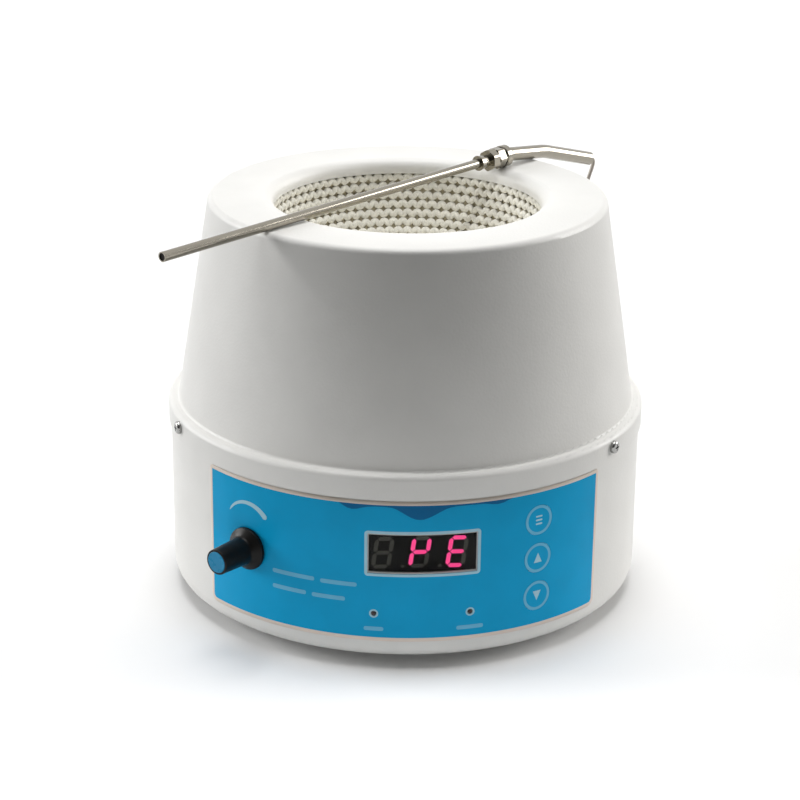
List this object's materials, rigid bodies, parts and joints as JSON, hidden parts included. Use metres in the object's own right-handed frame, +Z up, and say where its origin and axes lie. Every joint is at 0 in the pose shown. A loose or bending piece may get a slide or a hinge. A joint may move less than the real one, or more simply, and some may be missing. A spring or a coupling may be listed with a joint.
{
  "type": "heating mantle",
  "caption": "Heating mantle with a magnetic stirrer: round steel housing, knitted heating nest for a round flask, sloping-skirt body, blue digital panel and a loose probe.",
  "frame": {"origin": "on the housing's upright axis, in the plane that its rubber feet stand on", "axes": "+Z up out of the nest's mouth, +Y out of the back where the power inlet is, so the control panel faces -Y; +X to the right seen from the front"},
  "size_m": [0.3018, 0.349, 0.2681],
  "materials": {
    "housing_white": "fine powder coat",
    "panel_blue": "glossy printed film",
    "key_blue": "glossy printed film",
    "window_clear": "clear film",
    "display_black": "matt",
    "segment_off": "diffusing",
    "segment_on": "lit, emissive",
    "lamp_plastic": "tinted clear",
    "knob_black": "glossy",
    "knob_blue": "glossy",
    "stainless": "bright",
    "zinc_steel": "zinc plated",
    "motor_steel": "satin",
    "bowl_aluminium": "satin",
    "magnet_nickel": "nickel plated",
    "nest_knit": "knitted glass fibre",
    "winding_sleeve": "braided glass-fibre sleeve",
    "insulation_wool": "ceramic wool",
    "rubber_black": "matt",
    "seal_dark": "matt",
    "board_green": "solder resist",
    "stud_nylon": "natural nylon",
    "black_plastic": "fine texture",
    "pin_brass": "bright",
    "socket_nickel": "nickel plated",
    "plug_black": "moulded",
    "cable_grey": "soft sheath",
    "transformer_iron": "varnished"
  },
  "bodies": {
    "mantle": {"upper_shell": "housing_white", "lower_shell": "housing_white", "control_film": "panel_blue", "display_window": "window_clear", "display_module": "display_black", "segments_dark": "segment_off", "segments_lit": "segment_on", "lamp_set": "lamp_plastic", "lamp_heat": "lamp_plastic", "probe_rod": "stainless", "probe_ferrule": "stainless", "probe_nut": "stainless", "probe_fitting": "stainless", "probe_tail": "stainless", "shell_screws": "zinc_steel", "weld_nuts": "zinc_steel", "foot_screws": "zinc_steel", "pillar_screws": "zinc_steel", "motor_screws": "zinc_steel", "inlet_screws": "zinc_steel", "lower_pillars": "zinc_steel", "upper_pillars": "zinc_steel", "motor_plate": "zinc_steel", "cradle_plate": "zinc_steel", "pot_nut": "zinc_steel", "stir_motor": "motor_steel", "nest_bowl": "bowl_aluminium", "heat_sink": "bowl_aluminium", "heating_nest": "nest_knit", "heating_winding": "winding_sleeve", "insulation_bowl": "insulation_wool", "rubber_feet": "rubber_black", "probe_tip_seal": "seal_dark", "probe_gland": "seal_dark", "display_board": "board_green", "key_board": "board_green", "main_board": "board_green", "board_studs": "stud_nylon", "power_inlet": "black_plastic", "switch_housing": "black_plastic", "key_switches": "black_plastic", "potentiometer": "black_plastic", "inlet_pins": "pin_brass", "sensor_socket": "socket_nickel", "sensor_socket_nut": "socket_nickel", "sensor_plug": "plug_black", "sensor_cable": "cable_grey", "sensor_cable_coil": "cable_grey", "sensor_cable_lead": "cable_grey", "transformer": "transformer_iron"},
    "rotor": {"motor_shaft": "zinc_steel", "magnet_holder": "bowl_aluminium", "drive_magnets": "magnet_nickel"},
    "speed_control": {"speed_knob": "knob_black", "knob_cap": "knob_blue", "pot_shaft": "zinc_steel"},
    "set_key": {"key_set": "key_blue"},
    "up_key": {"key_up": "key_blue"},
    "down_key": {"key_down": "key_blue"},
    "power_rocker": {"switch_rocker": "black_plastic"}
  },
  "joints": [
    {"name": "stirrer_spin", "type": "hinge", "parent": "mantle", "child": "rotor", "pos_m": [0, 0, 0.1], "axis": [0, 0, 1], "continuous": true},
    {"name": "speed_turn", "type": "hinge", "parent": "mantle", "child": "speed_control", "pos_m": [-0.09355, -0.11802, 0.0645], "axis": [0.6211, 0.7837, 0], "range_deg": [0, 300]},
    {"name": "set_press", "type": "slide", "parent": "mantle", "child": "set_key", "axis": [-0.5358, 0.8443, 0], "range_m": [0, 0.0004], "stiffness_N_per_m": 400},
    {"name": "up_press", "type": "slide", "parent": "mantle", "child": "up_key", "axis": [-0.5358, 0.8443, 0], "range_m": [0, 0.0004], "stiffness_N_per_m": 400},
    {"name": "down_press", "type": "slide", "parent": "mantle", "child": "down_key", "axis": [-0.5358, 0.8443, 0], "range_m": [0, 0.0004], "stiffness_N_per_m": 400},
    {"name": "power_rock", "type": "hinge", "parent": "mantle", "child": "power_rocker", "pos_m": [-0.016, 0.14134, 0.082], "axis": [-1, 0, 0], "range_deg": [0, 24]}
  ]
}
